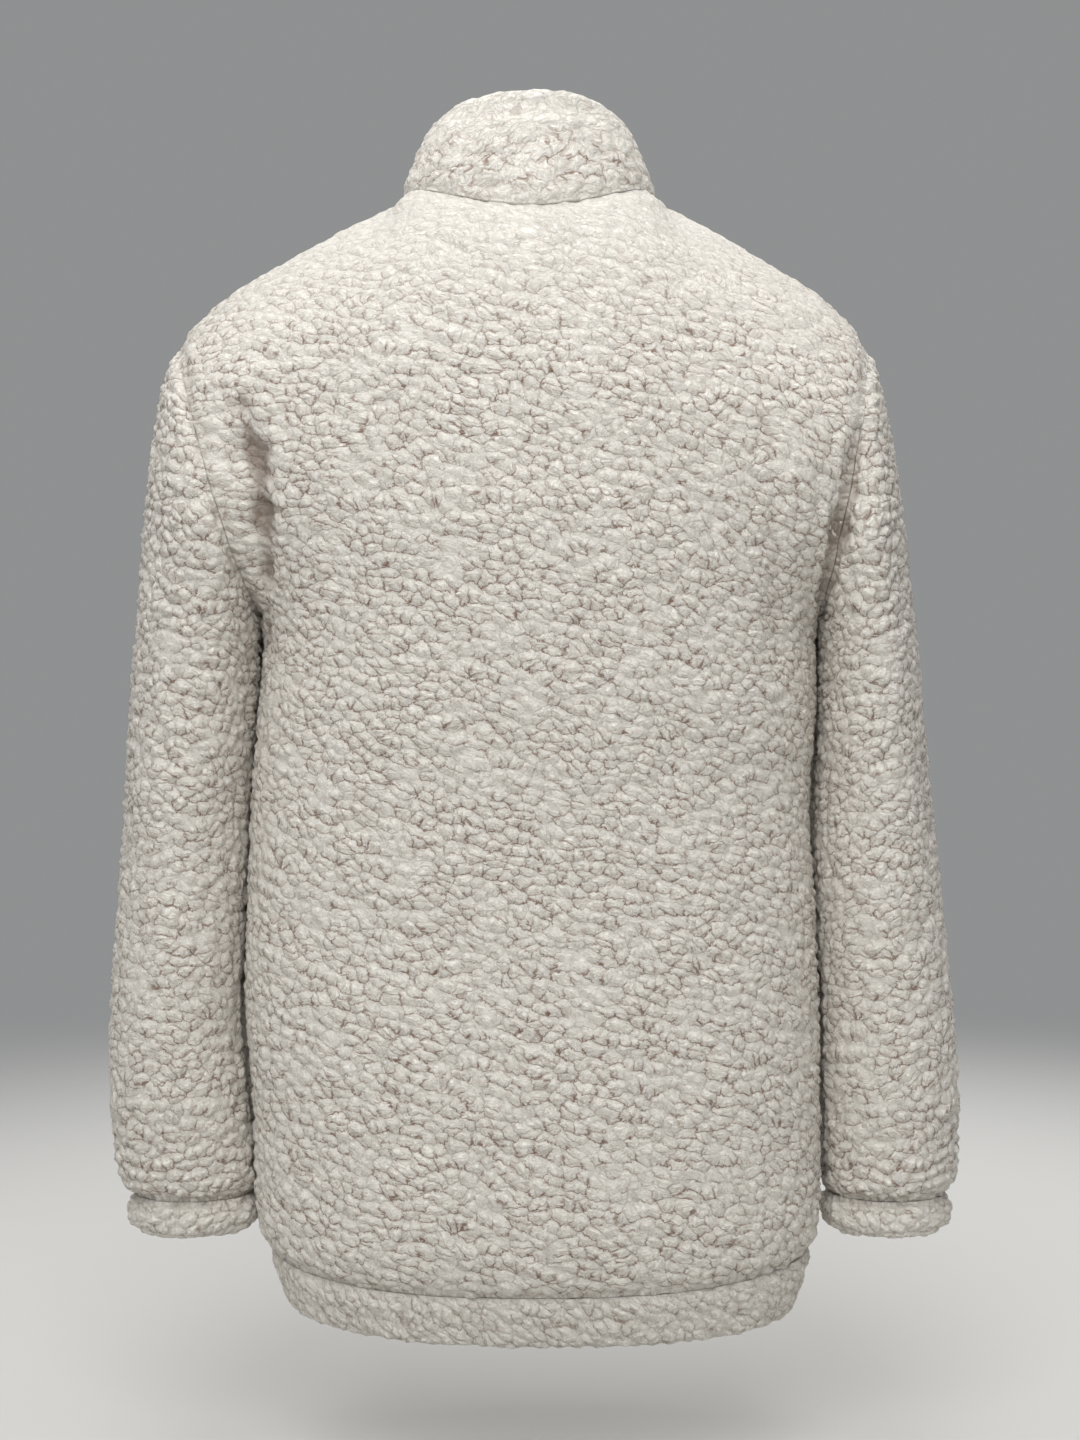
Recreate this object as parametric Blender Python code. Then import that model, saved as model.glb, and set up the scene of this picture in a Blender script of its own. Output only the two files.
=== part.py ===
"""Half-zip pullover in cream curly fleece, hollow and filled out as worn.

The front faces -Y, the back +Y, the wearer's left is +X and +Z is up.
The origin is the middle of the neck at shoulder level, where the wearer holds the garment up.
Sizes in the tables are millimetres on the outside of the pile.
"""

import math

import bmesh
import bpy
import numpy as np
from mathutils import Matrix, Vector

MM = 0.001
WALL = 8.0  # knitted backing and curly pile together
SEAM = 0.3  # space between two sewn pieces
EDGE = 2.3  # how far the pile rounds in at a free edge

NECK_HALF_LEFT = 82.0
NECK_HALF_RIGHT = 77.0
NECK_BACK = 72.0
NECK_FRONT = 80.0
NECK_Z = {"back": -15.0, "side": 1.0, "front": -58.0}
COLLAR_TOP_LEFT = 64.0
COLLAR_TOP_RIGHT = 59.0
COLLAR_TOP_BACK = 56.0
COLLAR_TOP_FRONT = 73.0
COLLAR_TOP_Z = {"back": 56.5, "side": 38.0, "front": 12.0}

HEM_SEAM_Z = -643.0
HEM_SEAM_LIFT = 11.0  # how much higher the seam is at the sides
HEM_DROP = 31.0
HEM_DROP_SIDE = 36.0
UNDERARM_Z = -256.0
SHOULDER_Z = -84.0
CUFF_DROP = 22.0

SLIT_HALF = 5.5  # half the opening between the fleece edges beside the zip
SLIT_LENGTH = 150.0  # below the neck seam
TAPE_WIDTH = 14.0
TAPE_THICK = 1.0
CHAIN_HALF = 2.6
CHAIN_THICK = 2.4
PIN = (0.0, -1.8, -2.1)  # the tab's pin in the slider's axes, from the outside of the cloth

LOW_ROWS = 20
HIGH_ROWS = 12
NECK_COLUMNS = 6
SHOULDER_COLUMNS = 7
SLEEVE_RINGS = 25

# Torso sections from the hem seam up to the underarm.
BODY = (
    ("z", "left", "right", "back", "front", "square"),
    [
        (-643, 160, 170, 94, 93, 2.35),
        (-632, 163, 172, 97, 96, 2.35),
        (-615, 165, 173, 100, 99, 2.35),
        (-585, 166, 173, 101, 100, 2.35),
        (-545, 168, 173, 101, 100, 2.35),
        (-475, 174, 172, 99, 98, 2.35),
        (-420, 172, 170, 98, 99, 2.35),
        (-365, 170, 166, 99, 102, 2.35),
        (-305, 165, 171, 103, 106, 2.35),
        (-256, 161, 171, 106, 108, 2.35),
    ],
)

# Depth of the middle of the back and of the front, from the underarm (0) to the neck seam (1).
RISE = (
    ("v", "back", "front"),
    [(0.0, 106, 108), (0.3, 110, 107), (0.6, 112, 104), (0.8, 112, 102), (1.0, 112, 101)],
)

# Height of the shoulder seam, from the neck (0) to the armhole (1).
SHOULDER = (
    ("share", "z"),
    [(0.0, 1), (0.14, -6), (0.25, -13), (0.35, -21), (0.51, -33), (0.76, -51.5), (0.93, -69.5), (1.0, -84)],
)

# Sleeve sections from the armhole to the cuff seam. Each is a loop from an outer to an inner point.
SLEEVE_COLUMNS = ("t", "outer_x", "outer_z", "inner_x", "inner_z", "back", "front", "middle_y")
SLEEVE_LEFT = (
    SLEEVE_COLUMNS,
    [
        (0, 213, -84, 162, -256, 78, 74, 0),
        (1, 223, -118, 164.5, -263, 79, 75, -1),
        (2, 229.5, -158, 165.5, -274, 76, 74, -2),
        (3, 234.5, -205, 166.5, -291, 72, 71, -3),
        (4, 238.5, -257, 168, -315, 68, 68, -4),
        (5, 243.5, -312, 170.5, -348, 64, 64, -5),
        (6, 247, -370, 172.5, -389, 60, 60, -6),
        (7, 251.5, -430, 175, -439, 57, 57, -7),
        (8, 256, -490, 176, -493, 54, 54, -8),
        (9, 256.5, -545, 170.5, -545, 50, 50, -8),
        (10, 253, -583, 168.5, -583, 45, 45, -8),
        (11, 247, -602, 168, -602, 38, 38, -8),
    ],
)
SLEEVE_RIGHT = (
    SLEEVE_COLUMNS,
    [
        (0, 200, -84, 172, -256, 80, 74, 0),
        (1, 209, -118, 173, -263, 80, 75, -1),
        (2, 216.5, -158, 174, -274, 77, 74, -2),
        (3, 223.5, -205, 174, -291, 73, 71, -3),
        (4, 229.5, -257, 173.5, -315, 70, 68, -4),
        (5, 235, -312, 172, -348, 66, 64, -5),
        (6, 241.5, -370, 171, -389, 62, 60, -6),
        (7, 248, -430, 172.5, -439, 58, 57, -7),
        (8, 254.5, -490, 174, -493, 54, 54, -8),
        (9, 258.5, -545, 175, -545, 50, 50, -8),
        (10, 258, -583, 176, -583, 45, 45, -8),
        (11, 255, -602, 176, -602, 38, 38, -8),
    ],
)

# Soft troughs (depth above 0) and ridges (below 0), each from one point to another.
FOLDS = (
    ("x0", "y0", "z0", "x1", "y1", "z1", "width", "depth"),
    [
        (180, 80, -142, 172, 84, -160, 17, 9),
        (168, 74, -165, 160, 62, -232, 13, 5),
        (-190, 70, -150, -176, 76, -240, 13, 6),
        (-140, 104, -150, -152, 96, -250, 24, -5),
        (-118, 108, -130, -124, 106, -230, 20, 3),
        (150, 96, -120, 60, 116, -170, 22, 2.5),
        (-60, 110, -70, -150, 80, -110, 22, 2.5),
        (40, 108, -150, -90, 104, -172, 16, 2),
        (-60, 100, -330, -150, 70, -372, 20, 3),
        (110, 90, -430, 30, 100, -470, 24, 2),
        (160, 20, -560, 168, 4, -630, 14, -2.5),
        (120, -90, -150, 70, -108, -215, 22, 3),
        (-125, -88, -160, -60, -108, -205, 20, 3),
        (60, -100, -330, 140, -70, -372, 22, 3),
        (-40, -98, -455, -130, -74, -430, 22, 2.5),
        (226, 50, -215, 176, 52, -240, 13, 3.5),
        (-222, 52, -225, -178, 46, -262, 14, 3.5),
        (246, 30, -380, 190, 50, -402, 15, 3),
        (-240, 30, -365, -180, 50, -352, 15, 3),
        (254, -20, -470, 200, -58, -492, 15, 3),
        (-252, -24, -455, -196, -60, -485, 15, 3),
        (250, 20, -560, 190, 42, -570, 12, 2.5),
        (-254, 20, -556, -196, 42, -572, 12, 2.5),
        (180, -80, -150, 168, -70, -225, 14, 6),
        (-182, -78, -152, -172, -68, -232, 14, 6),
    ],
)


def read(table, name, at):
    """A column of a table, followed smoothly between its rows."""
    names, rows = table
    rows = np.array(rows, float)
    key, value = rows[:, 0], rows[:, names.index(name)]
    step = np.diff(key)
    grade = np.diff(value) / step
    slope = np.empty(len(key))
    slope[0], slope[-1] = grade[0], grade[-1]
    slope[1:-1] = (grade[:-1] * step[1:] + grade[1:] * step[:-1]) / (step[1:] + step[:-1])
    flat = grade[:-1] * grade[1:] <= 0
    slope[1:-1][flat] = 0
    at = np.clip(np.asarray(at, float), key[0], key[-1])
    i = np.clip(np.searchsorted(key, at, "right") - 1, 0, len(step) - 1)
    t = (at - key[i]) / step[i]
    return (
        value[i] * (1 + 2 * t) * (1 - t) ** 2
        + slope[i] * step[i] * t * (1 - t) ** 2
        + value[i + 1] * t * t * (3 - 2 * t)
        + slope[i + 1] * step[i] * t * t * (t - 1)
    )


def unit(v):
    return v / np.maximum(np.linalg.norm(v, axis=-1, keepdims=True), 1e-9)


def around(heights, angle):
    """Height round a tilted ring, from the back (0) over the side to the front (pi)."""
    b = (heights["back"] - heights["front"]) / 2
    middle = (heights["back"] + heights["front"]) / 2
    a = (middle + heights["side"]) / 2
    return a + b * np.cos(angle) + (middle - a) * np.cos(2 * angle)


def oval(angle, half, back, front):
    """A point of a ring at an angle from the back."""
    c = np.cos(angle)
    return half * np.sin(angle), np.where(c > 0, back, front) * c


def neck_point(angle, side):
    """The neck seam at an angle from the back, on the left (+1) or right (-1)."""
    half = NECK_HALF_LEFT if side > 0 else NECK_HALF_RIGHT
    x, y = oval(angle, half, NECK_BACK, NECK_FRONT)
    return np.array([side * x, y, around(NECK_Z, angle)])


def neck_inward(angle, side):
    """The way through the cloth at the neck seam, shared by the collar and the panels."""
    return unit(np.array([-side * math.sin(angle), -math.cos(angle), -0.6]))


def sleeve_table(side):
    return SLEEVE_LEFT if side > 0 else SLEEVE_RIGHT


def sleeve_loop(side, t, angle):
    """A point of the sleeve section t, at an angle from its outer point towards the back."""
    get = {c: read(sleeve_table(side), c, t) for c in SLEEVE_COLUMNS[1:]}
    c, s = np.cos(angle), np.sin(angle)
    x = (get["outer_x"] + get["inner_x"]) / 2 + (get["outer_x"] - get["inner_x"]) / 2 * c
    z = (get["outer_z"] + get["inner_z"]) / 2 + (get["outer_z"] - get["inner_z"]) / 2 * c
    y = get["middle_y"] + np.where(s > 0, get["back"], get["front"]) * s
    return np.stack([side * x, y, z], -1)


def armhole_inward(side, angle):
    """The way through the cloth at the armhole seam, in the plane of the seam."""
    get = {c: read(sleeve_table(side), c, 0) for c in SLEEVE_COLUMNS[1:]}
    across = np.array([get["outer_x"] - get["inner_x"], 0, get["outer_z"] - get["inner_z"]]) / 2
    reach = np.linalg.norm(across)
    deep = get["back"] if math.sin(angle) > 0 else get["front"]
    d = across / reach * math.cos(angle) / reach + np.array([0, math.sin(angle) / deep, 0])
    return unit(-d * np.array([side, 1, 1]))


def armhole_away(side):
    """The way from the body into the sleeve, square to the armhole seam."""
    get = {c: read(sleeve_table(side), c, 0) for c in SLEEVE_COLUMNS[1:]}
    return unit(np.array([side * (get["outer_z"] - get["inner_z"]), 0, -(get["outer_x"] - get["inner_x"])]))


def even_columns(count, start):
    """Shares of the half width that part a torso section into even lengths of cloth."""
    n = 2.35
    angle = np.linspace(0, math.pi / 2, 400)
    x, y = 168 * np.sin(angle) ** (2 / n), 104 * np.cos(angle) ** (2 / n)
    run = np.concatenate([[0], np.cumsum(np.hypot(np.diff(x), np.diff(y)))])
    first = np.interp(start, x, run)
    return np.interp(np.linspace(first, run[-1], count + 1), run, x) / 168


def panel_half(face, side):
    """Points of half a panel, from the middle (column 0) out to the side seam and armhole."""
    back = face == "back"
    start = 0.0 if back else SLIT_HALF
    turn = 1 if back else -1
    columns = NECK_COLUMNS + SHOULDER_COLUMNS
    low = even_columns(columns, start)
    neck_half = NECK_HALF_LEFT if side > 0 else NECK_HALF_RIGHT
    first = math.asin(start / neck_half)
    top = []
    for i in range(NECK_COLUMNS + 1):
        angle = first + (math.pi / 2 - first) * i / NECK_COLUMNS
        top.append(neck_point(angle if back else math.pi - angle, side))
    shoulder_x = read(sleeve_table(side), "outer_x", 0)
    for i in range(1, SHOULDER_COLUMNS + 1):
        share = i / SHOULDER_COLUMNS
        x = neck_half + (shoulder_x - neck_half) * share
        top.append(np.array([side * x, 0.0, float(read(SHOULDER, "z", share))]))
    top = np.array(top)
    half_name = "left" if side > 0 else "right"
    rows = LOW_ROWS + HIGH_ROWS + 1
    p = np.zeros((rows, columns + 1, 3))
    for j in range(LOW_ROWS + 1):
        z = HEM_SEAM_Z + (UNDERARM_Z - HEM_SEAM_Z) * j / LOW_ROWS
        half, deep = float(read(BODY, half_name, z)), float(read(BODY, face, z))
        n = float(read(BODY, "square", z))
        p[j, :, 0] = side * half * low
        p[j, :, 1] = turn * deep * (1 - np.minimum(low, 1) ** n) ** (1 / n)
        p[j, :, 2] = z + HEM_SEAM_LIFT * low**3 * max(1 - j / 6, 0) ** 2
    share = low.copy()
    for k in range(1, HIGH_ROWS + 1):
        j = LOW_ROWS + k
        angle = math.pi * (1 - k / HIGH_ROWS)
        end = sleeve_loop(side, 0, turn * angle)
        w = k / HIGH_ROWS
        mix = w * w * (3 - 2 * w)
        share = low * (1 - mix) + np.abs(top[:, 0]) / abs(top[-1, 0]) * mix
        v_end = (end[2] - UNDERARM_Z) / (SHOULDER_Z - UNDERARM_Z)
        v = w * (1 - share**4) + v_end * share**4
        softness = 0.5 + 0.45 * np.clip(1 - share * abs(top[-1, 0]) / neck_half, 0, 1) ** 0.7
        keep = (1 - v**2.6) ** softness
        middle = float(read(RISE, face, w))
        if k < HIGH_ROWS:
            edge = min(abs(end[1]) / max((1 - v_end**2.6) ** 0.5, 1e-6), 0.985 * middle)
        n = 2.35
        wide = 1 / (1 - (edge / middle) ** n) ** (1 / n)
        ring = middle * np.clip(1 - (share / wide) ** n, 0, 1) ** (1 / n)
        seam_y = np.abs(top[:, 1])
        p[j, :, 0] = side * abs(end[0]) * share
        p[j, :, 1] = turn * (seam_y + (ring - seam_y) * keep)
        p[j, :, 2] = UNDERARM_Z + v * (top[:, 2] - UNDERARM_Z)
        p[j, -1] = end
    p[-1] = top
    p[-1, -1] = sleeve_loop(side, 0, 0.0)
    return p


def relax(p, rows, passes):
    """Evens the points inside a panel and leaves its seams as they are."""
    for _ in range(passes):
        mean = (p[:-2, 1:-1] + p[2:, 1:-1] + p[1:-1, :-2] + p[1:-1, 2:]) / 4
        inside = p[1:-1, 1:-1]
        weight = np.zeros(inside.shape[0])
        weight[rows - 1 :] = 0.5
        p[1:-1, 1:-1] = inside + (mean - inside) * weight[:, None, None]
    return p


def fold_depth(p):
    """How far the folds push each point through the cloth."""
    names, rows = FOLDS
    depth = np.zeros(p.shape[:-1])
    for row in rows:
        f = dict(zip(names, row))
        a = np.array([f["x0"], f["y0"], f["z0"]], float)
        b = np.array([f["x1"], f["y1"], f["z1"]], float)
        along = b - a
        t = np.clip(((p - a) @ along) / (along @ along), -0.25, 1.25)
        off = np.linalg.norm(p - (a + t[..., None] * along), axis=-1) / f["width"]
        ends = np.clip(1 - (2 * np.abs(t - 0.5) - 0.7) / 0.8, 0, 1)
        depth += f["depth"] * np.exp(-off * off) * ends
    return depth


def normals(p, closed):
    """Unit normals of a grid of points, rows up and columns round."""
    if closed:
        du = np.roll(p, -1, 1) - np.roll(p, 1, 1)
    else:
        du = np.gradient(p, axis=1)
    dv = np.gradient(p, axis=0)
    return unit(np.cross(du, dv))


def shell(name, material, p, d, wall=WALL, closed=False, hole=(), inset=None, shift=(0, 0, 0)):
    """A closed wall between the outer points p and the same points moved in along d."""
    push = fold_depth(p)
    inset = np.zeros(p.shape[:-1]) if inset is None else inset
    outer = p + d * (push + inset)[..., None] + np.array(shift)
    inner = p + d * (push + wall - np.minimum(inset, EDGE))[..., None] + np.array(shift)
    rows, columns = p.shape[:2]
    spans = columns if closed else columns - 1
    cells = [
        (j, i) for j in range(rows - 1) for i in range(spans) if (j, i) not in hole
    ]
    bm = bmesh.new()
    made = {}

    def vertex(layer, j, i):
        key = (layer, j, i % columns)
        if key not in made:
            made[key] = bm.verts.new(Vector((outer, inner)[layer][j, i % columns]) * MM)
        return made[key]

    border = {}
    for j, i in cells:
        loop = [(j, i), (j, i + 1), (j + 1, i + 1), (j + 1, i)]
        bm.faces.new([vertex(0, *c) for c in loop])
        bm.faces.new([vertex(1, *c) for c in reversed(loop)])
        for a, b in zip(loop, loop[1:] + loop[:1]):
            a, b = (a[0], a[1] % columns), (b[0], b[1] % columns)
            if (b, a) in border:
                del border[(b, a)]
            else:
                border[(a, b)] = True
    for a, b in border:
        # Both sides of a seam are split along the same diagonal, so that they stay parallel.
        if (p[a] - p[b]) @ np.array([1.0, 0.37, 0.11]) > 0:
            a, b = b, a
        bm.faces.new([vertex(0, *a), vertex(0, *b), vertex(1, *b)])
        bm.faces.new([vertex(0, *a), vertex(1, *b), vertex(1, *a)])
    bmesh.ops.recalc_face_normals(bm, faces=bm.faces)
    return finish(name, bm, material)


def finish(name, bm, material, smooth=True):
    mesh = bpy.data.meshes.new(name)
    bm.to_mesh(mesh)
    bm.free()
    mesh.materials.append(material)
    mesh.polygons.foreach_set("use_smooth", [smooth] * len(mesh.polygons))
    obj = bpy.data.objects.new(name, mesh)
    COLLECTION.objects.link(obj)
    return obj


def material(name, colour, roughness, metallic=0.0):
    m = bpy.data.materials.new(name)
    m.use_nodes = True
    shader = m.node_tree.nodes["Principled BSDF"]
    shader.inputs["Base Color"].default_value = (*colour, 1)
    shader.inputs["Roughness"].default_value = roughness
    shader.inputs["Metallic"].default_value = metallic
    m.diffuse_color = (*colour, 1)
    return m


def panel(face):
    """Points of a whole panel and the way through its cloth, from right to left as columns."""
    left, right = panel_half(face, 1), panel_half(face, -1)
    back = face == "back"
    # Column 0 is the wearer's right on the back and the wearer's left on the front.
    near, far = (left, right) if back else (right, left)
    columns = [far[:, i] for i in range(far.shape[1] - 1, 0 if back else -1, -1)]
    columns += [near[:, i] for i in range(near.shape[1])]
    if back:
        columns[far.shape[1] - 1] = (left[:, 0] + right[:, 0]) / 2
    p = relax(np.stack(columns, 1), LOW_ROWS - 1, 6)
    d = normals(p, False)
    if (d[5, p.shape[1] // 2, 1] > 0) == back:
        d = -d
    d = d.copy()
    for j in range(LOW_ROWS + 1):
        d[j, 0] = (-np.sign(p[j, 0, 0]), 0, 0)
        d[j, -1] = (-np.sign(p[j, -1, 0]), 0, 0)
    d[0, :, 2] = 0
    turn = 1 if back else -1
    for k in range(HIGH_ROWS + 1):
        angle = turn * math.pi * (1 - k / HIGH_ROWS)
        for i in (0, -1):
            d[LOW_ROWS + k, i] = armhole_inward(int(np.sign(p[LOW_ROWS + k, i, 0])), angle)
    for i in range(1, p.shape[1] - 1):
        x, y, z = p[-1, i]
        if abs(y) > 0.01 or abs(abs(x) - NECK_HALF_LEFT) < 0.01 or abs(abs(x) - NECK_HALF_RIGHT) < 0.01:
            half = NECK_HALF_LEFT if x > 0 else NECK_HALF_RIGHT
            angle = math.asin(min(abs(x) / half, 1))
            d[-1, i] = neck_inward(angle if back else math.pi - angle, 1 if x >= 0 else -1)
        else:
            d[-1, i, 1] = 0
    return p, unit(d)


def seam_inset(p, closed, rows=(), columns=()):
    """The pile lies a little lower along a seam."""
    inset = np.zeros(p.shape[:-1])
    for j in rows:
        inset[j, :] = 1.2
    for i in columns:
        inset[:, i] = np.maximum(inset[:, i], 1.2)
    return inset


def make_back():
    p, d = panel("back")
    inset = seam_inset(p, False, (0, -1), (0, -1))
    return shell("back", FLEECE, p, d, inset=inset, shift=(0, SEAM / 2, 0))


def slit_rows(p):
    """The first row of the front that lies beside the zip."""
    middle = p.shape[1] // 2
    length = np.linalg.norm(np.diff(p[:, middle], axis=0), axis=-1)[::-1].cumsum()
    return p.shape[0] - 1 - int(np.searchsorted(length, SLIT_LENGTH))


def make_front():
    p, d = panel("front")
    first = slit_rows(p)
    strip = (p.shape[1] - 1) // 2
    d[:, strip : strip + 2, 0] = 0
    d = unit(d)
    hole = {(j, strip) for j in range(first, p.shape[0] - 1)}
    inset = seam_inset(p, False, (0, -1), (0, -1))
    for i in (strip, strip + 1):
        inset[first:, i] = EDGE
    shell("front", FLEECE, p, d, hole=hole, inset=inset, shift=(0, -SEAM / 2, 0))
    return p, d, first, strip


def make_sleeve(side):
    angles = np.arange(24) / 24 * 2 * math.pi
    t = np.linspace(0, 1, SLEEVE_RINGS + 1) ** 1.12 * 11
    p = np.array([sleeve_loop(side, v, angles) for v in t])
    d = normals(p, True)
    centre = p.mean(1, keepdims=True)
    d = np.where(((centre - p) * d).sum(-1, keepdims=True) > 0, d, -d)
    d[0] = [armhole_inward(side, a if a <= math.pi else a - 2 * math.pi) for a in angles]
    d[1] = unit(d[0] + d[1])
    d[-1, :, 2] = 0
    d = unit(d)
    name = "sleeve_left" if side > 0 else "sleeve_right"
    inset = seam_inset(p, True, (0, -1))
    shell(name, FLEECE, p, d, closed=True, inset=inset, shift=armhole_away(side) * SEAM)
    return p[-1], d[-1]


def make_cuff(side, ring, ring_d):
    """A narrow gathered tube that runs on from the sleeve's last section."""
    names = ("drop", "grow")
    rows = [(0, 0.0), (4, 1.2), (10, 1.4), (16, -0.2), (20, -2.2), (22, -3.8)]
    table = (names, rows)
    drops = np.array([0, 3.5, 9, 14.5, 19, 22]) * CUFF_DROP / 22
    p, d = [], []
    for drop in drops:
        grow = float(read(table, "grow", drop))
        q = ring - ring_d * grow
        q = q + np.array([0, 0, -drop])
        p.append(q)
        d.append(ring_d)
    p, d = np.array(p), np.array(d)
    inset = seam_inset(p, True, (0,))
    inset[-1] = EDGE
    shift = armhole_away(side) * SEAM + np.array([0, 0, -SEAM])
    name = "cuff_left" if side > 0 else "cuff_right"
    shell(name, FLEECE, p, d, closed=True, inset=inset, shift=shift)


def make_hem():
    """A gathered band that runs on from the hem seam and draws in towards its edge."""
    back, back_d = panel("back")
    front, front_d = panel("front")
    ring = np.concatenate([back[0], front[0][1:-1]])
    ring_d = np.concatenate([back_d[0], front_d[0][1:-1]])
    table = (("share", "grow"), [(0, 0.0), (0.2, -2.0), (0.45, -5.5), (0.7, -8.5), (0.88, -10.5), (1, -12.0)])
    shares = [0, 0.16, 0.4, 0.65, 0.87, 1]
    side = np.abs(ring[:, 0]) / np.abs(ring[:, 0]).max()
    # The band hangs a little lower on the wearer's right.
    drop = HEM_DROP + (HEM_DROP_SIDE - HEM_DROP) * side**3 - 1.5 * ring[:, 0] / 170
    p, d = [], []
    for share in shares:
        row = ring - ring_d * float(read(table, "grow", share))
        row[:, 2] -= drop * share
        p.append(row)
        d.append(ring_d)
    p, d = np.array(p), np.array(d)
    inset = seam_inset(p, True, (0,))
    inset[-1] = EDGE
    shell("hem_band", FLEECE, p, d, closed=True, inset=inset, shift=(0, 0, -SEAM))


def collar_angles(side):
    """Angles from the back on one side, out to the edge beside the zip."""
    half = NECK_HALF_LEFT if side > 0 else NECK_HALF_RIGHT
    last = math.pi / 2 - math.asin(SLIT_HALF / half)
    steps = range(1, NECK_COLUMNS + 1)
    quarter = [math.pi / 2 * i / NECK_COLUMNS for i in range(NECK_COLUMNS + 1)]
    return quarter + [math.pi / 2 + last * i / NECK_COLUMNS for i in steps]


def make_collar():
    """A stand collar, one strip round from the zip over the back to the zip again."""
    shares = [0, 0.09, 0.27, 0.45, 0.62, 0.78, 0.87, 0.95, 1.0]
    bulge = (("h", "out"), [(0, 0), (0.1, 1.0), (0.3, 1.5), (0.6, 2.2), (0.8, 2.0), (1, 0.4)])
    line = [(a, -1) for a in reversed(collar_angles(-1)[1:])] + [(a, 1) for a in collar_angles(1)]
    p, d = [], []
    for h in shares:
        row, row_d = [], []
        for angle, side in line:
            base = neck_point(angle, side)
            top_half = COLLAR_TOP_LEFT if side > 0 else COLLAR_TOP_RIGHT
            x, y = oval(angle, top_half, COLLAR_TOP_BACK, COLLAR_TOP_FRONT)
            # The edges beside the zip stay upright and parallel.
            slack = max(angle / (math.pi / 2) - 1, 0) ** 6
            x = x * (1 - slack) + abs(base[0]) * slack
            top = np.array([side * x, y, around(COLLAR_TOP_Z, angle)])
            inward = unit(np.array([-side * math.sin(angle), -math.cos(angle), -0.15]))
            mix = min(h / 0.3, 1)
            way = unit(neck_inward(angle, side) * (1 - mix) + inward * mix)
            # The turned edge is sewn down in a shallow line that ends before the zip.
            line_depth = 1.4 * math.exp(-(((h - 0.87) / 0.05) ** 2)) * (1 - min(3 * slack, 1))
            row.append(base + (top - base) * h - way * (float(read(bulge, "out", h)) - line_depth))
            row_d.append(way)
        p.append(row)
        d.append(row_d)
    p, d = np.array(p), np.array(d)
    d[:, 0, 0] = d[:, -1, 0] = 0
    d = unit(d)
    p[:, 0, 0], p[:, -1, 0] = -SLIT_HALF, SLIT_HALF
    inset = seam_inset(p, False, (0,))
    inset[-1] = EDGE
    inset[:, 0] = inset[:, -1] = EDGE
    shell("collar", FLEECE, p, d, inset=inset, shift=(0, 0, SEAM / 0.857))
    return p, d


def zip_line(front, collar):
    """Points and ways through the cloth up the zip, at the slit edge and one column further out.

    Each row is (edge point, edge way, next point, next way) on the wearer's left, then the right.
    """
    p, d, first, strip = front
    q, e = collar
    rows = []
    shift = np.array([0, -SEAM / 2, 0])
    for j in range(first - 1, p.shape[0]):
        rows.append([
            (p[j, strip + k] + shift, d[j, strip + k], p[j, strip + n] + shift, d[j, strip + n])
            for k, n in ((0, -1), (1, 2))
        ])
    lift = np.array([0, 0, SEAM / 0.857])
    for j in range(1, q.shape[0] - 1):
        rows.append([
            (q[j, k] + lift, e[j, k], q[j, n] + lift, e[j, n]) for k, n in ((-1, -2), (0, 1))
        ])
    return rows


def make_tape(name, rows, which, parted):
    """A woven strip behind the fleece edge, from the middle of the zip outward."""
    inner, outer = [], []
    for j, row in enumerate(rows):
        edge, way, beyond, beyond_way = row[which]
        side = 1 if edge[0] > 0 else -1
        edge = edge + way * fold_depth(edge)
        beyond = beyond + beyond_way * fold_depth(beyond)
        start = 1.9 if j >= parted else 0.2
        flat = np.array([0, way[1], way[2]])
        centre = np.array([side * start, edge[1], edge[2]])
        span = (TAPE_WIDTH - SLIT_HALF) / abs(beyond[0] - edge[0])
        far = edge + (beyond - edge) * span
        far_way = unit(way + (beyond_way - way) * span)
        line = [(centre, unit(flat)), (edge, unit(flat)), (far, far_way)]
        inner.append([q + w * (WALL + SEAM) for q, w in line])
        outer.append([q + w * (WALL + SEAM + TAPE_THICK) for q, w in line])
    grid = np.array([inner, outer])
    bm = bmesh.new()
    v = [[[bm.verts.new(Vector(c) * MM) for c in row] for row in layer] for layer in grid]
    n = len(rows)
    for j in range(n - 1):
        for i in range(2):
            bm.faces.new([v[0][j][i], v[0][j][i + 1], v[0][j + 1][i + 1], v[0][j + 1][i]])
            bm.faces.new([v[1][j][i], v[1][j + 1][i], v[1][j + 1][i + 1], v[1][j][i + 1]])
        for i in (0, 2):
            bm.faces.new([v[0][j][i], v[0][j + 1][i], v[1][j + 1][i], v[1][j][i]])
    for j in (0, n - 1):
        for i in range(2):
            bm.faces.new([v[0][j][i], v[0][j][i + 1], v[1][j][i + 1], v[1][j][i]])
    bmesh.ops.recalc_face_normals(bm, faces=bm.faces)
    return finish(name, bm, TAPE)


def middle_line(rows):
    """The middle of the zip, as points on the outside of the cloth and ways through it."""
    points, ways = [], []
    for left, right in rows:
        point = (left[0] + right[0]) / 2
        way = unit((left[1] + right[1]) / 2 * np.array([0, 1, 1]))
        points.append(point * np.array([0, 1, 1]) + way * float(fold_depth(point)))
        ways.append(way)
    return np.array(points), np.array(ways)


def bar(name, material_, points, ways, half, near, far):
    """A bar that follows the zip, between two depths below the outside of the cloth."""
    bm = bmesh.new()
    rings = []
    for q, w in zip(points, ways):
        x = np.array([half, 0, 0])
        rings.append([
            bm.verts.new(Vector(c) * MM)
            for c in (q - x + w * near, q + x + w * near, q + x + w * far, q - x + w * far)
        ])
    for a, b in zip(rings, rings[1:]):
        for i in range(4):
            bm.faces.new([a[i], a[(i + 1) % 4], b[(i + 1) % 4], b[i]])
    bm.faces.new(rings[0])
    bm.faces.new(rings[-1])
    bmesh.ops.recalc_face_normals(bm, faces=bm.faces)
    return finish(name, bm, material_, smooth=False)


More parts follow.
